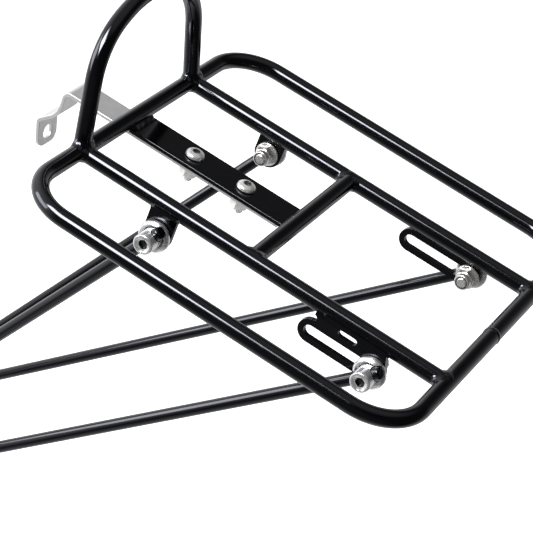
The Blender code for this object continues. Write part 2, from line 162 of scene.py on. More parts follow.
def lathe(stations, sides=64, closed=False):
    """Rings about +Z. A station is (height, radius); a radius may be a function of the angle."""
    angles = 2 * math.pi * np.arange(sides) / sides
    rows = []
    for height, radius in stations:
        r = radius(angles) if callable(radius) else np.full(sides, float(radius))
        rows.append(np.stack([r * np.cos(angles), r * np.sin(angles), np.full(sides, float(height))], 1))
    return grid(np.array(rows), closed=closed)


def hexagon(across_flats):
    def radius(angles):
        return across_flats / 2 / np.cos((angles + math.pi / 6) % (math.pi / 3) - math.pi / 6)
    return radius


def smaller(one, other):
    """The radius at each angle that is inside both shapes, as on a chamfered hexagon."""
    return lambda angles: np.minimum(one(angles), np.full(len(angles), float(other)))


def thread(radius, low, high, pitch=1.0 * MM, depth=0.55 * MM, start_taper=0.7 * MM):
    """Stations of a screw thread from low to high, with its tip at low."""
    count = max(2, int(round((high - low) / pitch * 8)))
    stations = []
    for i in range(count + 1):
        height = low + (high - low) * i / count
        taper = max(0.0, 1 - (height - low) / start_taper) * depth

        def profile(angles, height=height, taper=taper):
            phase = (height / pitch - angles / (2 * math.pi)) % 1.0
            wave = np.abs(2 * phase - 1)
            wave = np.clip(1.25 * wave - 0.12, 0, 1)
            return np.minimum(radius - depth * wave, radius - taper)
        stations.append((height, profile))
    return stations


def swept(path, side_axis, radius, sides=40, loop=False):
    """A round bar along a flat path whose plane has the normal side_axis."""
    path = np.asarray(path, float)
    if loop:
        ahead = np.roll(path, -1, 0) - path
        behind = path - np.roll(path, 1, 0)
    else:
        steps = path[1:] - path[:-1]
        ahead = np.vstack([steps, steps[-1:]])
        behind = np.vstack([steps[:1], steps])
    tangent = unit(unit(ahead) + unit(behind))
    side_axis = unit(side_axis)
    across = unit(np.cross(side_axis, tangent))
    angles = 2 * math.pi * (np.arange(sides) + 0.5) / sides
    offset = across[:, None] * np.cos(angles)[None, :, None] + side_axis * np.sin(angles)[None, :, None]
    return grid(path[:, None] + offset * radius, closed=loop)


def bar_between(start, end, radius, sides=64):
    start, end = np.array(start, float), np.array(end, float)
    axis = unit(end - start)
    side = unit(np.cross(axis, (0.31, 0.87, 0.38)))
    return swept([start, end], side, radius, sides)


def slab(outline, y_from, y_to):
    """A flat plate in the x-z plane, from one y to another."""
    near = [(x, y_from, z) for x, z in outline]
    far = [(x, y_to, z) for x, z in outline]
    return grid(np.array([near, far], float))


# ---------------------------------------------------------------- objects
def new_object(name, data):
    obj = bpy.data.objects.new(name, data)
    bpy.context.scene.collection.objects.link(obj)
    return obj


def shade(mesh, sharp):
    """Smooth shading that breaks at edges which turn by more than sharp degrees."""
    mesh.shade_smooth()
    mesh.set_sharp_from_angle(angle=math.radians(sharp))


def mesh_object(name, shape, sharp=35.0):
    points, faces = shape
    mesh = bpy.data.meshes.new(name)
    mesh.from_pydata([tuple(p) for p in points], [], faces)
    bm = bmesh.new()
    bm.from_mesh(mesh)
    bmesh.ops.remove_doubles(bm, verts=bm.verts, dist=1e-7)
    bmesh.ops.recalc_face_normals(bm, faces=bm.faces)
    bm.to_mesh(mesh)
    bm.free()
    shade(mesh, sharp)
    return new_object(name, mesh)


def apply_modifiers(obj, sharp=None):
    graph = bpy.context.evaluated_depsgraph_get()
    mesh = bpy.data.meshes.new_from_object(obj.evaluated_get(graph))
    obj.modifiers.clear()
    old = obj.data
    obj.data = mesh
    bpy.data.meshes.remove(old)
    if sharp:
        shade(mesh, sharp)


def cut(obj, *shapes):
    """Takes shapes, given in the object's own coordinates, out of an object."""
    for shape in shapes:
        cutter = mesh_object(f"{obj.name}_cutter", shape)
        cutter.matrix_world = obj.matrix_world
        modifier = obj.modifiers.new("cut", "BOOLEAN")
        modifier.operation = "DIFFERENCE"
        modifier.solver = "EXACT"
        modifier.object = cutter
        bpy.context.view_layer.update()
        apply_modifiers(obj, 35.0)
        bpy.data.objects.remove(cutter, do_unlink=True)


def soften(obj, width, segments=3, limit=40.0):
    """Rounds the edges that turn more than the limit."""
    modifier = obj.modifiers.new("round", "BEVEL")
    modifier.width = width
    modifier.segments = segments
    modifier.limit_method = "ANGLE"
    modifier.angle_limit = math.radians(limit)
    modifier.miter_outer = "MITER_ARC"
    modifier.use_clamp_overlap = True
    modifier.harden_normals = True
    obj.data.shade_smooth()
    apply_modifiers(obj)


def settle(obj, body, material, slot, *nodes, others=(), choose=None):
    """Gives a piece its materials, body and replaced nodes; choose picks a face's material. The slot is
    not used.
    """
    obj.data.materials.clear()
    for each in (material, *others):
        obj.data.materials.append(each)
    if choose:
        for face in obj.data.polygons:
            face.material_index = choose(face.center)
    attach(obj, body)
    if nodes:
        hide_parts(*nodes)
    return obj


# ---------------------------------------------------------------- materials
def add_node(tree, kind, inputs=None, **settings):
    node = tree.nodes.new(kind)
    for key, value in settings.items():
        setattr(node, key, value)
    for key, value in (inputs or {}).items():
        if isinstance(value, bpy.types.NodeSocket):
            tree.links.new(value, node.inputs[key])
        else:
            node.inputs[key].default_value = value
    return node


class Look:
    """A Principled material whose sockets are fed by procedural nodes."""

    def __init__(self, name, **fixed):
        self.material = bpy.data.materials.new(name)
        self.material.use_nodes = True
        self.tree = self.material.node_tree
        self.shader = self.tree.nodes["Principled BSDF"]
        for socket, value in fixed.items():
            self.shader.inputs[socket.replace("_", " ")].default_value = value
        self.place = self.add("ShaderNodeTexCoord").outputs["Object"]

    def add(self, kind, inputs=None, **settings):
        return add_node(self.tree, kind, inputs, **settings)

    def noise(self, scale, detail=2.0, stretch=None, roughness=0.5):
        place = self.place
        if stretch:
            place = self.add("ShaderNodeMapping", {"Vector": place, "Scale": stretch}).outputs["Vector"]
        node = self.add("ShaderNodeTexNoise", {"Vector": place, "Scale": scale, "Detail": detail,
                                               "Roughness": roughness})
        return node.outputs["Fac"]

    def lines(self, scale):
        """Noise that runs in fine lines: rings about the local Z axis and along it."""
        split = self.add("ShaderNodeSeparateXYZ", {"Vector": self.place})
        flat = self.add("ShaderNodeVectorMath", {0: self.place, 1: (1.0, 1.0, 0.0)}, operation="MULTIPLY")
        far = self.add("ShaderNodeVectorMath", {0: flat.outputs["Vector"]}, operation="LENGTH")
        total = self.math("ADD", far.outputs["Value"], split.outputs["Z"])
        node = self.add("ShaderNodeTexNoise", {"W": total, "Scale": scale, "Detail": 3.0},
                        noise_dimensions="1D")
        return node.outputs["Fac"]

    def math(self, operation, a, b):
        return self.add("ShaderNodeMath", {0: a, 1: b}, operation=operation).outputs["Value"]

    def spread(self, value, low, high, start=0.3, end=0.7):
        node = self.add("ShaderNodeMapRange", {"Value": value, "From Min": start, "From Max": end,
                                               "To Min": low, "To Max": high})
        return node.outputs["Result"]

    def blend(self, factor, one, other):
        node = self.add("ShaderNodeMix", {"Factor": factor}, data_type="RGBA")
        for name, colour in (("A", one), ("B", other)):
            socket = [s for s in node.inputs if s.name == name and s.type == "RGBA"][0]
            if isinstance(colour, bpy.types.NodeSocket):
                self.tree.links.new(colour, socket)
            else:
                socket.default_value = (*colour, 1.0)
        return [s for s in node.outputs if s.type == "RGBA"][0]

    def bump(self, height, distance, under=None):
        inputs = {"Height": height, "Distance": distance, "Strength": 1.0}
        if under is not None:
            inputs["Normal"] = under
        return self.add("ShaderNodeBump", inputs).outputs["Normal"]

    def feed(self, **sockets):
        for socket, value in sockets.items():
            self.tree.links.new(value, self.shader.inputs[socket.replace("_", " ")])
        return self.material


def gloss_paint(name, roughness, peel, marks=False):
    """Sprayed black gloss: a faint orange peel, slow waves and a little dust in the colour."""
    look = Look(name, Metallic=0.0, IOR=1.5, Specular_IOR_Level=0.8,
                Specular_Tint=(0.88, 0.89, 1.0, 1.0))
    cloud = look.spread(look.noise(60.0, 3.0), 0.0, 1.0)
    dust = look.spread(look.noise(2600.0, 2.0), 0.0, 1.0, 0.66, 0.80)
    colour = look.blend(cloud, (0.0004, 0.00045, 0.0006), (0.0007, 0.00075, 0.0010))
    colour = look.blend(look.math("MULTIPLY", dust, 0.35), colour, (0.0030, 0.0030, 0.0033))
    rough = look.spread(look.noise(240.0, 3.0), roughness * 0.85, roughness * 1.2)
    slow = look.bump(look.noise(170.0, 1.0), peel * 2.2)
    normal = look.bump(look.noise(760.0, 2.0), peel, slow)
    if marks:
        # Small pale knocks, here and there.
        spots = look.add("ShaderNodeTexVoronoi", {"Vector": look.place, "Scale": 190.0})
        near = look.spread(spots.outputs["Distance"], 1.0, 0.0, 0.05, 0.16)
        rare = look.spread(look.noise(95.0, 1.0), 0.0, 1.0, 0.68, 0.72)
        mark = look.math("MULTIPLY", near, rare)
        colour = look.blend(look.math("MULTIPLY", mark, 0.8), colour, (0.22, 0.22, 0.22))
        rough = look.math("ADD", rough, look.math("MULTIPLY", mark, 0.25))
        # Fine lines across the cut edges, left by the cutting beam.
        facing = look.add("ShaderNodeNewGeometry").outputs["Normal"]
        split = look.add("ShaderNodeSeparateXYZ", {"Vector": facing})
        edge = look.spread(look.math("ABSOLUTE", split.outputs["Y"], 0.0), 1.0, 0.0, 0.2, 0.6)
        where = look.add("ShaderNodeSeparateXYZ", {"Vector": look.place})
        run = look.math("ADD", where.outputs["X"], where.outputs["Z"])
        wave = look.math("SINE", look.math("MULTIPLY", run, 6800.0), 0.0)
        normal = look.bump(look.math("MULTIPLY", wave, edge), 12 * UM, normal)
    return look.feed(Base_Color=colour, Roughness=rough, Normal=normal)


def turned_steel(name, tint, roughness, metallic, lines=0.4 * UM):
    """Bright steel with fine turning lines round the piece's own axis and a few cloudy patches."""
    look = Look(name, Metallic=metallic)
    cloud = look.spread(look.noise(420.0, 3.0), 0.0, 1.0)
    dark = tuple(0.86 * c for c in tint)
    colour = look.blend(cloud, tint, dark)
    ring = look.lines(5200.0)
    rough = look.math("ADD", look.spread(ring, roughness * 0.75, roughness * 1.25),
                      look.spread(look.noise(900.0, 2.0), -0.02, 0.04))
    fine = look.bump(ring, lines)
    normal = look.bump(look.noise(1500.0, 3.0), 1.2 * UM, fine)
    return look.feed(Base_Color=colour, Roughness=rough, Normal=normal)


def satin_strip(name):
    """Blasted and lightly brushed strip: soft grain along its length, slightly mottled."""
    look = Look(name, Metallic=0.75)
    mottle = look.spread(look.noise(150.0, 4.0), 0.0, 1.0)
    colour = look.blend(mottle, (0.68, 0.68, 0.676), (0.75, 0.75, 0.744))
    brush = look.noise(1.0, 3.0, stretch=(160.0, 4200.0, 4200.0))
    grain = look.noise(3600.0, 2.0)
    rough = look.spread(brush, 0.34, 0.42)
    normal = look.bump(brush, 3.5 * UM, look.bump(grain, 4.5 * UM))
    return look.feed(Base_Color=colour, Roughness=rough, Normal=normal)


def moulded_nylon(name):
    """Dark moulded plastic with a fine matt grain."""
    look = Look(name, Metallic=0.0, IOR=1.5)
    cloud = look.spread(look.noise(700.0, 2.0), 0.0, 1.0)
    colour = look.blend(cloud, (0.028, 0.029, 0.032), (0.045, 0.046, 0.050))
    rough = look.spread(look.noise(1500.0, 2.0), 0.36, 0.5)
    normal = look.bump(look.noise(2400.0, 2.0), 4 * UM)
    return look.feed(Base_Color=colour, Roughness=rough, Normal=normal)


# Paint: roughness and depth of the orange peel. Steel: tint, roughness and metallic share.
PAINT = gloss_paint("gloss_black_paint", 0.11, 1.6 * UM)
PAINT_WELD = gloss_paint("gloss_black_weld", 0.11, 3.0 * UM)
PAINT_TAB = gloss_paint("gloss_black_tab", 0.11, 1.6 * UM, marks=True)
STEEL = turned_steel("polished_steel", (0.90, 0.90, 0.91), 0.19, 0.84)
STEEL_BUTTON = turned_steel("button_steel", (0.97, 0.97, 0.96), 0.26, 0.76)
STEEL_WASHER = turned_steel("turned_steel", (0.88, 0.88, 0.89), 0.21, 0.84, 0.5 * UM)
STEEL_NUT = turned_steel("plated_steel", (0.84, 0.825, 0.80), 0.24, 0.86)
STEEL_LOW = turned_steel("zinc_steel", (0.84, 0.835, 0.82), 0.30, 0.55)
# Darker steel for the button heads' hex sockets: painted shade in the recess.
BUTTON_SOCKET_SHADE = turned_steel("button_socket_shade_steel", (0.38, 0.38, 0.36), 0.30, 1.0)
# Dark steel for the eyebolts' hex sockets: painted shade in the recess.
SHADED_SOCKET_STEEL = turned_steel("socket_shade_steel", (0.17, 0.17, 0.175), 0.30, 1.0)
STRIP = satin_strip("satin_strip")
NYLON = moulded_nylon("dark_nylon")


# ---------------------------------------------------------------- tubes of the frame
def deck_path():
    front, rear, side = CORNER_R, DECK_END - CORNER_R, DECK_HALF - CORNER_R
    points = []
    for i, centre in enumerate(((rear, side), (front, side), (front, -side), (rear, -side))):
        start = i * math.pi / 2
        points += arc(centre, CORNER_R, start, start + math.pi / 2, 28)
    return [(x, y, 0.0) for x, y in points]


def hoop_up():
    return np.array((-math.sin(HOOP_LEAN), 0.0, math.cos(HOOP_LEAN)))


def hoop_path():
    """Three-centred arch in a plane that leans forwards from the front bar."""
    leg, turn_end, shoulder_r = HOOP_LEG_ANGLE, HOOP_SHOULDER_END, HOOP_SHOULDER_R
    in_left = RAIL_Y - shoulder_r * (math.cos(leg) - math.cos(turn_end))
    up_left = HOOP_HEIGHT - shoulder_r * (math.sin(turn_end) - math.sin(leg))
    crown_up = 1 - math.sin(turn_end)
    crown_r = (in_left * math.cos(leg) - up_left * math.sin(leg)) / (
        math.cos(turn_end) * math.cos(leg) - crown_up * math.sin(leg))
    leg_length = (up_left - crown_r * crown_up) / math.cos(leg)
    leg_top = (RAIL_Y - leg_length * math.sin(leg), leg_length * math.cos(leg))
    shoulder_at = (leg_top[0] - shoulder_r * math.cos(leg), leg_top[1] - shoulder_r * math.sin(leg))
    half = [(RAIL_Y, 0.0)] + arc(shoulder_at, shoulder_r, leg, turn_end, 22)
    half += arc((0.0, HOOP_HEIGHT - crown_r), crown_r, turn_end, math.pi / 2, 16)[1:]
    outline = half + [(-y, h) for y, h in reversed(half[:-1])]
    up = hoop_up()
    return [np.array((0.0, y, 0.0)) + up * h for y, h in outline]


def frame_tube(node, path, side_axis=(0, 0, 1), loop=False):
    obj = mesh_object(f"{node}_tube", swept(path, side_axis, TUBE_R, loop=loop))
    settle(obj, "deck", PAINT, "black_paint", node)


def frame_tubes():
    frame_tube("deck_loop", deck_path(), loop=True)
    for side, label in SIDES:
        y = side * RAIL_Y
        frame_tube(f"{label}_rail", [(0, y, 0), (DECK_END, y, 0)])
    frame_tube("mid_crossbar", [(MID_BAR_X, -RAIL_Y, 0), (MID_BAR_X, RAIL_Y, 0)])
    frame_tube("hoop", hoop_path(), np.cross((0, 1, 0), hoop_up()))


# ---------------------------------------------------------------- welds
def smooth(t):
    t = np.clip(t, 0, 1)
    return t * t * (3 - 2 * t)


def joint_weld(foot, branch, bar_point, bar, leg=3.0 * MM, crown=0.30 * MM, span=None, seed=0.0):
    """Bead round a branch tube where it meets a bar of the same size.

    The bead's surface leaves the branch and reaches the bar without a step. leg is how far it spreads,
    crown how far it bulges, and span limits it to a sector."""
    count = 120
    across = 13
    foot, bar_point = np.array(foot, float), np.array(bar_point, float)
    branch, bar = unit(branch), unit(bar)
    u = unit(bar - (bar @ branch) * branch)
    v = np.cross(branch, u)
    if span:
        angles = np.linspace(span[0], span[1], count)
        place = np.linspace(0, 1, count)
        taper = smooth(place / 0.22) * smooth((1 - place) / 0.22)
    else:
        angles = 2 * math.pi * np.arange(count) / count
        taper = np.ones(count)
    out = u * np.cos(angles)[:, None] + v * np.sin(angles)[:, None]
    base = foot + TUBE_R * out - bar_point
    flat_base = base - (base @ bar)[:, None] * bar
    flat_branch = branch - (branch @ bar) * bar
    a = flat_branch @ flat_branch
    b = 2 * flat_base @ flat_branch
    c = (flat_base ** 2).sum(1) - TUBE_R ** 2
    rise = (-b + np.sqrt(np.maximum(b * b - 4 * a * c, 0))) / (2 * a)
    corner = base + rise[:, None] * branch
    along = corner @ bar
    radial = unit(corner - along[:, None] * bar)
    spread = out - (out * radial).sum(1)[:, None] * radial
    back = -branch + (radial @ branch)[:, None] * radial
    leave = unit(spread + 0.35 * back)
    ring = np.cross(bar, radial)
    go_along = leave @ bar
    go_round = (leave * ring).sum(1)
    step = np.linalg.norm(np.diff(corner, axis=0), axis=1)
    arc_length = np.concatenate([[0], np.cumsum(step)])
    legs = leg * (1 + 0.09 * np.sin(3 * angles + seed) + 0.06 * np.sin(7 * angles + 2.3 * seed))
    legs = legs * (0.15 + 0.85 * taper)
    rows = []
    for i in range(across):
        t = i / (across - 1)
        near, far = legs * (1 - t) ** 2, legs * t ** 2
        turn = go_round * far / TUBE_R
        on_bar = (along + go_along * far)[:, None] * bar + TUBE_R * (
            radial * np.cos(turn)[:, None] + ring * np.sin(turn)[:, None])
        on_branch = corner + branch * near[:, None]
        ripple = 1 + 0.16 * np.sin(2 * math.pi * (arc_length / (1.15 * MM) + 1.6 * (t - 0.5) ** 2))
        hump = max(0.0, math.sin(math.pi * t)) ** 1.4
        normal = unit(out * (1 - t) + radial * t)
        sink = 0.05 * MM if i in (0, across - 1) else 0.0
        lift = crown * hump * ripple * taper - sink
        rows.append(on_branch + on_bar - corner + normal * lift[:, None])
    rows.append(corner - unit(out + radial) * 1.2 * MM)
    points = np.array(rows).transpose(1, 0, 2) + bar_point
    return grid(points, closed=span is None)


def seam(start, end, section, root, ripple=0.05 * MM, wobble=0.05, seed=0.0, ends=1.4 * MM):
    """Straight bead: a flat section, given as offsets from the line, swept from start to end."""
    start, end = np.array(start, float), np.array(end, float)
    length = np.linalg.norm(end - start)
    count = max(12, int(length / (0.22 * MM)))
    section, root = np.array(section, float), np.array(root, float)
    rows = []
    for i in range(count + 1):
        s = length * i / count
        edge = min(s, length - s)
        size = math.sqrt(max(0.02, 1 - max(0.0, 1 - edge / ends) ** 2))
        slow, quick = math.sin(s / (2.1 * MM) + seed), math.sin(s / (0.9 * MM) + 2 * seed)
        uneven = 1 + wobble * (slow + 0.6 * quick)
        wave = ripple * math.sin(2 * math.pi * s / (1.2 * MM) + seed)
        rel = (section - root) * size * uneven
        rel = rel + unit(rel) * wave * size
        rows.append(start + (end - start) * i / count + root + rel)
    return grid(np.array(rows))


def curve_section(start, control, end, root, axis_a, axis_b, steps=10):
    """Offsets of a bead's section: a curve from start to end, closed through the root."""
    start, control, end, root = np.array((start, control, end, root), float)
    t = np.linspace(0, 1, steps + 1)[:, None]
    points = np.vstack([(1 - t) ** 2 * start + 2 * t * (1 - t) * control + t * t * end, root])
    axes = np.array((axis_a, axis_b), float)
    return points @ axes, root @ axes


def ring_weld(centre, axis, half_width=1.5 * MM, height=0.36 * MM):
    """Bead right round a tube where its two ends meet."""
    sides, across = 96, 15
    axis = unit(axis)
    u = unit(np.cross(axis, (0.0, 0.0, 1.0)))
    v = np.cross(axis, u)
    angles = 2 * math.pi * np.arange(sides) / sides
    out = u * np.cos(angles)[:, None] + v * np.sin(angles)[:, None]
    rows = []
    for i in range(across):
        t = i / (across - 1)
        edge = half_width * (1 + 0.10 * np.sin(3 * angles + 1.0) + 0.05 * np.sin(8 * angles))
        hump = max(0.0, math.sin(math.pi * t)) ** 0.7
        ripple = 1 + 0.12 * np.sin(2 * math.pi * (angles * TUBE_R / (1.2 * MM)) + 2 * (t - 0.5))
        radius = TUBE_R - 0.04 * MM + height * hump * ripple
        rows.append(np.array(centre) + out * radius[:, None] + axis * ((2 * t - 1) * edge)[:, None])
    return grid(np.array(rows))


def plate_seams(bar_x, way):
    """Beads on top of and under one end of the plate, against a cross tube."""
    top, bottom, half = PLATE_HIGH.z, PLATE_LOW.z, PLATE_HIGH.y - 0.6 * MM
    reach = math.sqrt(TUBE_R ** 2 - top ** 2)
    start, end = (bar_x, -half, 0.0), (bar_x, half, 0.0)
    axes = (way, 0, 0), (0, 0, 1)
    over = curve_section(
        (reach + 3.4 * MM, top - 0.05 * MM), (reach + 1.8 * MM, top + 2.1 * MM),
        (TUBE_R * 0.955, -1.4 * MM), (reach - 0.8 * MM, top - 0.4 * MM), *axes)
    under = curve_section(
        (reach + 2.4 * MM, bottom), (reach + 0.2 * MM, bottom - 0.5 * MM),
        (1.2 * MM, -TUBE_R - 0.02 * MM), (reach - 0.8 * MM, top - 0.8 * MM), *axes)
    return [seam(start, end, *over, seed=bar_x * 90), seam(start, end, *under, seed=1 + bar_x * 90)]


def tab_seams(side, label, node):
    """Beads along both sides of a tab; the inner one leaves the relief hole open."""
    low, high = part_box(f"{label}_{node}")
    first, last = low.x + 2.4 * MM, high.x - 2.2 * MM
    stitches = [(first, last)]
    if node == "slotted_tab":
        first = low.x + 9.4 * MM
        stitches = [(first, first + 12.0 * MM), (last - 13.0 * MM, last)]
    y = side * RAIL_Y
    inner = TAB_Y - TAB_HALF_THICKNESS - RAIL_Y
    outer = TAB_Y + TAB_HALF_THICKNESS - RAIL_Y
    under = -math.sqrt(TUBE_R ** 2 - inner ** 2)
    axes = (0, side, 0), (0, 0, 1)
    section = curve_section(
        (inner + 0.1 * MM, under - 2.0 * MM), (inner - 0.7 * MM, under - 0.9 * MM),
        (inner - 2.4 * MM, -TUBE_R + 0.2 * MM), (inner + 0.6 * MM, under + 0.6 * MM), *axes)
    beads = [seam((start, y, 0), (end, y, 0), *section, seed=start * 50, ends=3 * MM)
             for start, end in stitches]
    section = curve_section(
        (outer + 0.04 * MM, -2.8 * MM), (outer - 0.10 * MM, -1.1 * MM),
        (TUBE_R - 0.12 * MM, 0.7 * MM), (outer - 1.40 * MM, -2.9 * MM), *axes)
    beads.append(seam((first, y, 0), (last, y, 0), *section, 0.012 * MM, 0.012, first * 70, 3 * MM))
    return beads


def welds():
    along_x, along_y = (1, 0, 0), (0, 1, 0)
    shapes = {"front_left": [], "front_right": [], "middle": [], "rear": [], "plate": [], "tabs": []}
    for side, label in SIDES:
        y = side * RAIL_Y
        inwards = np.array((0.0, -side * math.sin(HOOP_LEG_ANGLE), 0.0))
        leg_up = unit(inwards + hoop_up() * math.cos(HOOP_LEG_ANGLE))
        front, mid, rear = (0.0, y, 0.0), (MID_BAR_X, y, 0.0), (DECK_END, y, 0.0)
        shapes[f"front_{label}"] = [
            joint_weld(front, along_x, front, along_y, seed=0.4 + side),
            joint_weld(front, leg_up, front, along_y, leg=3.4 * MM, seed=1.7 + side),
            joint_weld(front, leg_up, front, along_x, leg=3.2 * MM, span=(-1.25, 1.25), seed=2.9 + side)]
        shapes["middle"].append(joint_weld(mid, (0, -side, 0), mid, along_x, seed=3.1 + side))
        shapes["rear"].append(joint_weld(rear, (-1, 0, 0), rear, along_y, seed=4.2 + side))
        for node in ("front_tab", "slotted_tab"):
            shapes["tabs"] += tab_seams(side, label, node)
    shapes["rear"].append(ring_weld((DECK_END, 0, 0), along_y))
    for bar_x, way in ((0.0, 1), (MID_BAR_X, -1)):
        shapes["plate"] += plate_seams(bar_x, way)
    for name, parts in shapes.items():
        obj = mesh_object(f"weld_{name}", joined(*parts), sharp=60.0)
        settle(obj, "deck", PAINT_WELD, "black_paint")


# ---------------------------------------------------------------- plates
def tab_faces(side):
    """The two faces of a tab on one side, from low y to high y."""
    return sorted((side * (TAB_Y - TAB_HALF_THICKNESS), side * (TAB_Y + TAB_HALF_THICKNESS)))


def tab_top_wedge(side, low_x, high_x):
    """What comes off a tab's outer top corner, where the bead runs down from the rail."""
    outer, low_z, high_z = TAB_Y + TAB_HALF_THICKNESS, -2.4 * MM, -0.5 * MM
    section = [(outer + MM, low_z), (outer, low_z), (outer - 1.2 * MM, high_z), (outer + MM, high_z)]
    ends = [[(x, side * y, z) for y, z in section] for x in (low_x - MM, high_x + MM)]
    return grid(np.array(ends))


def centre_plate():
    """Flat bar whose ends run a little way into the cross tubes."""
    low, high, reach = PLATE_LOW, PLATE_HIGH, 1.0 * MM
    outline = [(low.x - reach, low.z), (high.x + reach, low.z),
               (high.x + reach, high.z), (low.x - reach, high.z)]
    obj = mesh_object("centre_plate_body", slab(outline, low.y, high.y))
    soften(obj, 0.45 * MM)
    settle(obj, "deck", PAINT, "black_paint", "centre_plate")


def front_tab(side, label):
    """Round-ended plate that flares out where it meets the rail."""
    x, z = PIVOTS["front"].x, PIVOTS["front"].z
    r, flare, top = FRONT_TAB_R, FRONT_TAB_FLARE, TAB_TOP_Z
    outline = arc((x - r - flare, top - flare), flare, math.pi / 2, 0.0, 8)
    outline += arc((x, z), r, math.pi, 2 * math.pi, 40)
    outline += arc((x + r + flare, top - flare), flare, math.pi, math.pi / 2, 8)
    obj = mesh_object(f"{label}_front_tab_plate", slab(outline, *tab_faces(side)))
    cut(obj, tab_top_wedge(side, x - r - flare, x + r + flare))
    soften(obj, 0.35 * MM)
    settle(obj, "deck", PAINT_TAB, "black_paint", f"{label}_front_tab")


def slot_outline(front_x, rear_x, z, radius, steps=16):
    rear = arc((rear_x, z), radius, -math.pi / 2, math.pi / 2, steps)
    front = arc((front_x, z), radius, math.pi / 2, 3 * math.pi / 2, steps)
    return rear + front


def slotted_tab(side, label):
    """Plate with a long slot for the rear bolt, a small relief hole and a notch at its front end."""
    rear_x, z = PIVOTS["rear"].x, PIVOTS["rear"].z
    low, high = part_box(f"{label}_slotted_tab")
    r = SLOT_HALF_HEIGHT + SLOT_BORDER
    front_x = low.x + r
    notch_r = 1.8 * MM
    notch_x, notch_z = front_x + 1.0 * MM - notch_r, z + r + notch_r
    outline = arc((front_x, z), r, math.pi / 2, 3 * math.pi / 2, 28)
    outline += arc((rear_x, z), r, -math.pi / 2, 0.35, 20)
    outline += [(rear_x + 3.5 * MM, TAB_TOP_Z), (notch_x, TAB_TOP_Z)]
    outline += arc((notch_x, notch_z), notch_r, math.pi / 2, -math.pi / 2, 14)
    faces = tab_faces(side)
    obj = mesh_object(f"{label}_slotted_tab_plate", slab(outline, *faces))
    slot = slot_outline(front_x, rear_x + 0.5 * MM, z, SLOT_HALF_HEIGHT)
    relief = slot_outline(front_x + 16.0 * MM, front_x + 23.5 * MM, -5.6 * MM, 2.0 * MM, 10)
    through = faces[0] - MM, faces[1] + MM
    cut(obj, slab(slot, *through), slab(relief, *through), tab_top_wedge(side, low.x, high.x))
    soften(obj, 0.30 * MM)
    settle(obj, "deck", PAINT_TAB, "black_paint", f"{label}_slotted_tab")


def plates():
    centre_plate()
    for side, label in SIDES:
        front_tab(side, label)
        slotted_tab(side, label)


# ---------------------------------------------------------------- stay
def stay_line():
    """Middle of the strip's thickness, from its rear end to the end of its tab, as (x, z)."""
    heading = 0.0
    line = [(STAY_HIGH.x, STAY_HIGH.z - STAY_THICKNESS / 2)]

    def straight(length):
        x, z = line[-1]
        line.append((x - length * math.cos(heading), z - length * math.sin(heading)))

    def turn(radius, target, steps):
        nonlocal heading
        change = (target - heading) / steps
        for _ in range(steps):
            chord = 2 * radius * abs(math.sin(change / 2))
            middle_heading = heading + change / 2
            x, z = line[-1]
            line.append((x - chord * math.cos(middle_heading), z - chord * math.sin(middle_heading)))
            heading += change

    straight(STAY_HIGH.x + 37.6 * MM)
    turn(3.5 * MM, math.radians(90.0), 14)
    straight(6.2 * MM)
    turn(13.0 * MM, math.radians(43.0), 14)
    straight(7.4 * MM)
    turn(3.0 * MM, math.radians(90.0) + STAY_TAB_LEAN, 12)
    straight(16.3 * MM)
    return line


def offset_line(line, distance):
    """A flat line moved sideways, as for the face of a bent strip."""
    line = np.array(line)
    steps = np.diff(line, axis=0)
    ahead = unit(np.vstack([steps, steps[-1:]]))
    behind = unit(np.vstack([steps[:1], steps]))
    tangent = unit(ahead + behind)
    stretch = 1 / np.maximum((tangent * ahead).sum(1), 0.5)
    normal = np.stack([-tangent[:, 1], tangent[:, 0]], 1)
    return (line + normal * distance * stretch[:, None]).tolist()


def stay():
    line = stay_line()
    half, wide = STAY_THICKNESS / 2, STAY_HIGH.y
    outline = offset_line(line, half) + offset_line(line, -half)[::-1]
    obj = mesh_object("stay_strip", slab(outline, -wide, wide))

    # One long slot takes both plate bolts, with travel to spare at each end.
    z, travel, spare = line[0][1], 15.0 * MM, 3 * MM
    slot = slot_outline(middle("plate_bolt_front").x - travel, middle("plate_bolt_rear").x + travel,
                        0.0, M6_CLEARANCE_R)
    slot = grid(np.array([[(x, y, z + depth) for x, y in slot] for depth in (-spare, spare)]))

    # The tab at the far end has a hole and rounded corners.
    end = np.array((line[-1][0], 0.0, line[-1][1]))
    before = np.array((line[-2][0], 0.0, line[-2][1]))
    down = unit(end - before)
    normal = np.cross((0.0, 1.0, 0.0), down)
    depth, corner_r, over = 4 * MM, 6.0 * MM, 2.0 * MM
    hole_at = end - down * 7.5 * MM
    hole = bar_between(hole_at - normal * depth, hole_at + normal * depth, 4.2 * MM)
    edge = arc((wide - corner_r, -corner_r), corner_r, 0.0, math.pi / 2, 16)
    edge += [(wide - corner_r, over), (wide + over, over), (wide + over, -corner_r)]
    corners = []
    for side, _ in SIDES:
        sideways = np.array((0, side, 0))
        rims = [[end + sideways * a + down * b + normal * level for a, b in edge]
                for level in (-depth, depth)]
        corners.append(grid(np.array(rims)))
    cut(obj, slot, hole, *corners)
    soften(obj, 0.42 * MM, limit=35.0)
    settle(obj, "stay", STRIP, "satin_steel", "stay")


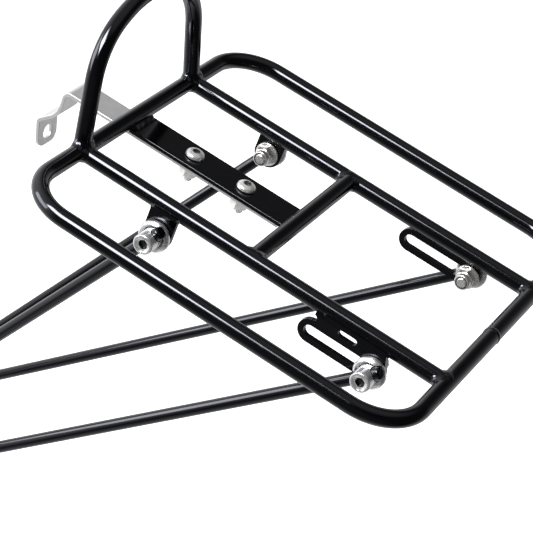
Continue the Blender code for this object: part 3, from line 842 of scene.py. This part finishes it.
# ---------------------------------------------------------------- fasteners of the plate
def plate_bolt(label):
    """Button head with a hex socket, over a threaded shank."""
    at = middle(f"plate_bolt_{label}")
    low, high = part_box(f"plate_bolt_{label}")
    top, head = high.z, high.z - 3.1 * MM
    socket = hexagon(4.0 * MM)
    stations = [(low.z, POINT), (low.z, 2.0 * MM)] + thread(M6_R, low.z, head)
    stations += [(head, 4.9 * MM), (head + 0.12 * MM, 5.3 * MM), (head + 0.42 * MM, 5.45 * MM),
                 (head + 0.8 * MM, 5.34 * MM)]
    for k in range(1, 9):
        a = math.radians(14 + 51 * k / 8)
        stations.append((head + 0.62 * MM + 2.72 * MM * math.sin(a), 5.5 * MM * math.cos(a)))
    stations += [(top - 0.03 * MM, 2.46 * MM), (top - 0.12 * MM, lambda a: socket(a) * 1.03),
                 (top - 0.35 * MM, socket), (top - 2.0 * MM, socket), (top - 2.35 * MM, 1.2 * MM),
                 (top - 2.6 * MM, POINT)]
    obj = mesh_object(f"plate_bolt_{label}_body", lathe(stations, 72), 40.0)
    obj.location = (at.x, 0, 0)

    # Faces in the hex socket take the darker steel, painted shade in the recess; faces below the nut take
    # the zinc steel.
    def choose(centre):
        if centre.z < top - 8.0 * MM:
            return 2
        return int(centre.z > top - 3.0 * MM and math.hypot(centre.x, centre.y) < 2.33 * MM)

    settle(obj, "deck", STEEL_BUTTON, "bright_steel", f"plate_bolt_{label}",
           others=(BUTTON_SOCKET_SHADE, STEEL_LOW), choose=choose)


def plate_ring(label, kind, stations, sharp):
    """Closed ring on a plate bolt's axis, standing for the washer or the nut."""
    node = f"plate_{kind}_{label}"
    sides = {"washer": 64, "nut": 72}[kind]
    obj = mesh_object(f"{node}_body", lathe(stations, sides, closed=True), sharp)
    obj.location = (middle(f"plate_bolt_{label}").x, 0, 0)
    settle(obj, "deck", STEEL_LOW, "bright_steel", node)


def plate_fasteners():
    for label in ("front", "rear"):
        plate_bolt(label)

        low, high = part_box(f"plate_washer_{label}")
        rim = 6.0 * MM, 0.25 * MM
        plate_ring(label, "washer", rounded([(low.z, M6_CLEARANCE_R, 0), (low.z, *rim), (high.z, *rim),
                                             (high.z, M6_CLEARANCE_R, 0)]), 35.0)

        low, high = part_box(f"plate_nut_{label}")
        wrench, bore = hexagon(M6_FLATS), 3.2 * MM
        stations = [(low.z, bore), (low.z, 4.7 * MM)]
        for k in range(7):
            stations.append((low.z + 0.62 * MM * k / 6, smaller(wrench, 4.75 * MM + 1.05 * MM * k / 6)))
        for k in range(7):
            height = high.z - 0.5 * MM + 0.4 * MM * k / 6
            stations.append((height, smaller(wrench, 5.8 * MM - 0.7 * MM * k / 6)))
        stations += [(high.z, 4.9 * MM), (high.z, bore)]
        plate_ring(label, "nut", stations, 25.0)


# ---------------------------------------------------------------- strut sets
def strut_direction(side, angle, splay):
    """Unit vector up along a strut, which leans backwards and, when splayed, outwards."""
    flat = math.cos(splay)
    return np.array((flat * math.sin(angle), side * math.sin(splay), flat * math.cos(angle)))


def outward_span(node, side):
    """Where a fastener starts and ends, counted outwards from the middle of the rack."""
    low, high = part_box(node)
    return (low.y, high.y) if side > 0 else (-high.y, -low.y)


def place_outwards(obj, side, pivot):
    """Puts a turned piece on its pivot, with its own +Z outwards from the tab."""
    turn = Matrix.Rotation(-side * math.pi / 2, 4, "X")
    obj.matrix_world = Matrix.Translation((pivot.x, 0, pivot.z)) @ turn
    bpy.context.view_layer.update()


def cross_hole(side, up, reach, radius):
    """The strut's hole through a fastener, in the fastener's own frame."""
    turn = Matrix.Rotation(side * math.pi / 2, 3, "X")
    middle_point = np.array((0.0, side * STRUT_Y, 0.0))
    ends = [np.array(turn @ Vector(middle_point + up * way)) for way in (-reach, reach)]
    return bar_between(*ends, radius)


def eyebolt(side, name, pivot, up):
    """Threaded shank and a round head with a hex socket, drilled across for the strut."""
    tip, face = outward_span(f"{name}_eyebolt", side)
    root, head_r = 65.3 * MM, 5.8 * MM
    socket = hexagon(5.0 * MM)
    stations = [(tip, POINT), (tip, 2.1 * MM)] + thread(M6_R, tip, tip + 9.0 * MM)
    stations += [(tip + 9.6 * MM, M6_R), (root, M6_R)]
    profile = [(root, M6_R, 0), (root, head_r, 0.25 * MM), (face, head_r, 0.95 * MM),
               (face, 4.35 * MM, 0.12 * MM), (face - 0.75 * MM, 3.35 * MM, 0.10 * MM)]
    stations += rounded(profile, 6)[1:]
    stations += [(face - 0.98 * MM, lambda a: np.maximum(socket(a), 2.62 * MM)),
                 (face - 1.25 * MM, socket), (face - 3.6 * MM, socket),
                 (face - 4.1 * MM, 1.4 * MM), (face - 4.35 * MM, POINT)]
    obj = mesh_object(f"{name}_eyebolt_body", lathe(stations, 96), 40.0)
    place_outwards(obj, side, pivot)
    cut(obj, cross_hole(side, up, 12 * MM, 3.85 * MM))
    soften(obj, 0.12 * MM, 2, 50.0)

    # Faces in the hex socket take the dark steel: painted shade in the recess.
    def in_socket(centre):
        return int(centre.z > face - 4.5 * MM and math.hypot(centre.x, centre.y) < 2.9 * MM)

    settle(obj, f"{name}_pivot", STEEL, "bright_steel", f"{name}_eyebolt",
           others=(SHADED_SOCKET_STEEL,), choose=in_socket)


def grooved_washer(side, name, pivot, up):
    """Thick washer: a knurled rim towards the tab, a recess and a groove for the strut outside."""
    inner, outer = outward_span(f"{name}_grooved_washer", side)
    radius, recess, bore = 9.2 * MM, 6.2 * MM, M6_CLEARANCE_R
    floor_y = 65.0 * MM
    teeth, teeth_depth = 72, 0.09 * MM

    def knurled(r):
        return lambda a: r - teeth_depth * (0.5 - 0.5 * np.cos(teeth * a))

    stations = [(inner, bore), (inner, 7.6 * MM)]
    stations += [(inner + up_by * MM, knurled(r * MM)) for up_by, r in (
        (0.05, 8.3), (0.30, 8.85), (0.75, 9.15), (1.25, 9.2), (1.55, 9.2))]
    stations.append((inner + 1.75 * MM, radius - 0.02 * MM))
    profile = [(inner + 1.8 * MM, radius, 0), (inner + 2.9 * MM, radius, 0.9 * MM),
               (outer - 0.15 * MM, 7.9 * MM, 0.5 * MM), (outer, 7.45 * MM, 0.2 * MM),
               (outer - 0.95 * MM, 6.55 * MM, 0.2 * MM), (outer - 1.25 * MM, recess, 0.15 * MM),
               (floor_y, recess, 0.15 * MM), (floor_y, bore, 0)]
    stations += rounded(profile, 5)
    obj = mesh_object(f"{name}_washer_body", lathe(stations, 288, closed=True), 32.0)
    place_outwards(obj, side, pivot)
    cut(obj, cross_hole(side, up, 20 * MM, 3.9 * MM))
    settle(obj, f"{name}_pivot", STEEL_WASHER, "bright_steel", f"{name}_grooved_washer")


def lock_nut(side, name, pivot):
    """Flanged hex nut whose collar holds a nylon ring."""
    body = f"{name}_carriage" if name.endswith("rear") else "deck"
    flange = outward_span(f"{name}_lock_nut", side)[1]
    bore, blend_r = 3.2 * MM, 6.7 * MM
    wrench = hexagon(M6_FLATS)
    stations = [(flange, bore)]
    stations += [(flange - down * MM, r * MM) for down, r in (
        (0.0, 6.6), (0.15, 7.0), (0.5, 7.1), (0.9, 7.0), (1.1, 6.8))]
    for k in range(6):
        t = k / 5
        stations.append((flange - (1.2 + 0.9 * t) * MM,
                         lambda a, t=t: wrench(a) + (blend_r - wrench(a)) * (1 - t) ** 2))
    hex_end, collar_end, ring_seat = flange - 6.2 * MM, flange - 9.1 * MM, flange - 8.3 * MM
    for k in range(8):
        t = k / 7
        stations.append((hex_end + 0.85 * MM * (1 - t), smaller(wrench, (5.85 - 0.95 * t) * MM)))
    collar = [(hex_end - 0.1 * MM, 4.72 * MM, 0), (collar_end, 4.55 * MM, 0.95 * MM),
              (collar_end, 3.75 * MM, 0.1 * MM), (ring_seat, 3.65 * MM, 0), (ring_seat, bore, 0)]
    stations += rounded(collar, 6)
    obj = mesh_object(f"{name}_nut_body", lathe(stations, 72, closed=True), 24.0)
    place_outwards(obj, side, pivot)
    settle(obj, body, STEEL_NUT, "bright_steel", f"{name}_lock_nut")

    ring = [(flange - 8.9 * MM, 3.06 * MM, 0.1 * MM), (flange - 8.9 * MM, 3.62 * MM, 0.2 * MM),
            (flange - 8.32 * MM, 3.6 * MM, 0), (flange - 8.32 * MM, 3.1 * MM, 0)]
    obj = mesh_object(f"{name}_nut_insert", lathe(rounded(ring, 4, closed=True), 64, closed=True))
    place_outwards(obj, side, pivot)
    settle(obj, body, NYLON, "bright_steel")


def strut(side, name, pivot, up, length):
    """Round rod with a rounded upper end, pressed flat into an eye at its foot."""
    eye_z = -length
    press_start, press_end = eye_z + 28 * MM, eye_z + 12 * MM
    flat_half, flat_power = FOOT_THICKNESS / 2, 4.5
    tip_r, tip_round = 2.2 * MM, 1.3 * MM
    # Each station: height, half width, half depth and the power of its rounded outline.
    stations = [(STRUT_STUB, 1.2 * MM, 1.2 * MM, 2.0)]
    for k in range(9):
        a = math.radians(90 * k / 8)
        r = tip_r + tip_round * math.sin(a)
        stations.append((STRUT_STUB - tip_round * (1 - math.cos(a)), r, r, 2.0))
    stations.append((press_start, STRUT_R, STRUT_R, 2.0))
    for i in range(1, 17):
        t = i / 16
        ease = smooth(t)
        half_width = STRUT_R + (FOOT_R * 0.92 - STRUT_R) * ease
        half_depth = STRUT_R + (flat_half - STRUT_R) * ease
        stations.append((press_start + (press_end - press_start) * t, half_width, half_depth,
                         2 + (flat_power - 2) * ease))
    for i in range(25):
        turn = math.radians(-10 + 90 * i / 24)
        stations.append((eye_z - FOOT_R * math.sin(turn), FOOT_R * math.cos(turn), flat_half, flat_power))
    sides = 48
    angles = 2 * math.pi * (np.arange(sides) + 0.5) / sides
    c, s = np.cos(angles), np.sin(angles)
    rows = []
    for z, half_width, half_depth, power in stations:
        x = np.sign(c) * np.abs(c) ** (2 / power) * half_width
        y = np.sign(s) * np.abs(s) ** (2 / power) * half_depth
        rows.append(np.stack([x, y, np.full(sides, z)], 1))
    obj = mesh_object(f"{name}_strut_rod", grid(np.array(rows)), 40.0)
    cut(obj, bar_between((0, -10 * MM, eye_z), (0, 10 * MM, eye_z), 3.2 * MM, 48))
    up = Vector(up)
    flat_normal = (Vector((0, 1, 0)) - up * up.y).normalized()
    turn = Matrix((flat_normal.cross(up), flat_normal, up)).transposed().to_4x4()
    obj.data.transform(Matrix.Translation((pivot.x, side * STRUT_Y, pivot.z)) @ turn)
    settle(obj, f"{name}_strut", PAINT, "black_paint", f"{name}_strut")


def strut_sets():
    for side, label in SIDES:
        for end, (angle, splay, length) in STRUT_SETS.items():
            name, pivot = f"{label}_{end}", PIVOTS[end]
            up = strut_direction(side, angle, splay)
            eyebolt(side, name, pivot, up)
            grooved_washer(side, name, pivot, up)
            lock_nut(side, name, pivot)
            strut(side, name, pivot, up, length)


# ---------------------------------------------------------------- studio
def floor_and_shell():
    """A pale floor, and a white shell behind everything that only the camera sees."""
    white = {"Metallic": 0.0, "Emission_Color": (1, 1, 1, 1)}
    floor_z = min(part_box(f"left_{end}_strut")[0].z for end in STRUT_SETS) - FLOOR_DROP
    half = 7.0
    corners = [(x, y, floor_z) for y in (-half, half) for x in (-half, half)]
    floor = mesh_object("studio_floor", (np.array(corners), [(0, 1, 3, 2)]))
    look = Look("floor_white", Roughness=0.9, Emission_Strength=0.85, **white)
    colour = look.blend(look.spread(look.noise(1.3), 0.0, 1.0), (0.90, 0.90, 0.90), (0.92, 0.92, 0.92))
    floor.data.materials.append(look.feed(Base_Color=colour))
    floor.visible_glossy = False

    radius = 9.5
    around = np.linspace(0, 2 * math.pi, 48, endpoint=False)
    rows = []
    for a in np.radians(np.linspace(-90, 90, 25)):
        out, height = radius * math.cos(a), radius * math.sin(a)
        rows.append([(out * math.cos(b), out * math.sin(b), height) for b in around])
    shell = mesh_object("studio_shell", grid(np.array(rows), caps=False))
    look = Look("shell_white", Roughness=1.0, Emission_Strength=1.0, **white)
    colour = look.blend(look.noise(1.0), (0.9, 0.9, 0.9), (0.92, 0.92, 0.92))
    shell.data.materials.append(look.feed(Base_Color=colour))
    for kind in ("glossy", "diffuse", "transmission", "shadow", "volume_scatter"):
        setattr(shell, f"visible_{kind}", False)


def softbox(name, at, width, height, radiance):
    """Rectangular light that faces the front of the deck."""
    data = bpy.data.lights.new(name, "AREA")
    data.shape = "RECTANGLE"
    data.size, data.size_y = width, height
    data.energy = radiance * math.pi * width * height
    light = new_object(name, data)
    at, aim = Vector(at), Vector((0.10, 0.0, 0.0))
    facing = (aim - at).to_track_quat("-Z", "Y").to_matrix().to_4x4()
    light.matrix_world = Matrix.Translation(at) @ facing


def surroundings():
    """Dim light from everywhere, with soft glows towards some directions."""
    everywhere = 0.032
    # Direction, cosines of the angles where the glow starts and is full, and its strength.
    glows = (
        ((-0.1, 0.80, -0.60), 0.25, 0.90, 0.66),
        ((0.0, 0.15, 1.0), 0.72, 0.98, 0.24),
        ((-1.0, 0.1, -0.05), 0.30, 0.95, 0.78),
        ((0.0, -0.1, -1.0), 0.60, 1.00, 0.35),
        ((-0.233, 0.793, -0.563), 0.75, 0.94, -0.28),
        ((0.0, -0.8, -0.6), 0.20, 0.90, 0.05),
    )
    world = bpy.data.worlds.new("studio")
    bpy.context.scene.world = world
    world.use_nodes = True
    tree = world.node_tree
    place = tree.nodes.new("ShaderNodeTexCoord").outputs["Generated"]
    total = everywhere
    for direction, start, full, strength in glows:
        dot = add_node(tree, "ShaderNodeVectorMath", {0: place, 1: Vector(direction).normalized()},
                       operation="DOT_PRODUCT").outputs["Value"]
        levels = {"From Min": start, "From Max": full, "To Min": 0.0, "To Max": strength}
        ramp = add_node(tree, "ShaderNodeMapRange", {"Value": dot, **levels},
                        interpolation_type="SMOOTHSTEP").outputs["Result"]
        total = add_node(tree, "ShaderNodeMath", {0: ramp, 1: total}, operation="ADD").outputs["Value"]
    background = tree.nodes["Background"]
    background.inputs["Color"].default_value = (1, 1, 1, 1)
    tree.links.new(total, background.inputs["Strength"])


def studio():
    floor_and_shell()
    softbox("key_softbox", (-0.82, -1.14, 1.34), 1.25, 1.05, 4.6)
    softbox("key_core", (-0.80, -1.10, 1.26), 1.05, 0.72, 15.5)
    softbox("front_softbox", (-1.10, -0.56, 0.16), 0.80, 0.62, 4.2)
    surroundings()
    bpy.context.scene.view_settings.view_transform = "Standard"


def camera():
    """Long lens from the left and above, rolled so that the deck runs down to the right."""
    azimuth, elevation, roll = (math.radians(angle) for angle in (16.3929, 34.2816, 23.1475))
    target, distance = Vector((0.11874, -0.05639, 0.0)), 1.10242
    data = bpy.data.cameras.new("camera")
    data.lens, data.sensor_width, data.clip_end = 143.97, 36.0, 50.0
    obj = new_object("camera", data)
    turn = Matrix.Rotation(azimuth, 4, "Z") @ Matrix.Rotation(math.pi / 2 - elevation, 4, "X")
    back = turn @ Vector((0.0, 0.0, distance))
    obj.matrix_world = Matrix.Translation(target + back) @ turn @ Matrix.Rotation(roll, 4, "Z")
    bpy.context.scene.camera = obj


camera()
frame_tubes()
welds()
plates()
stay()
plate_fasteners()
strut_sets()
studio()
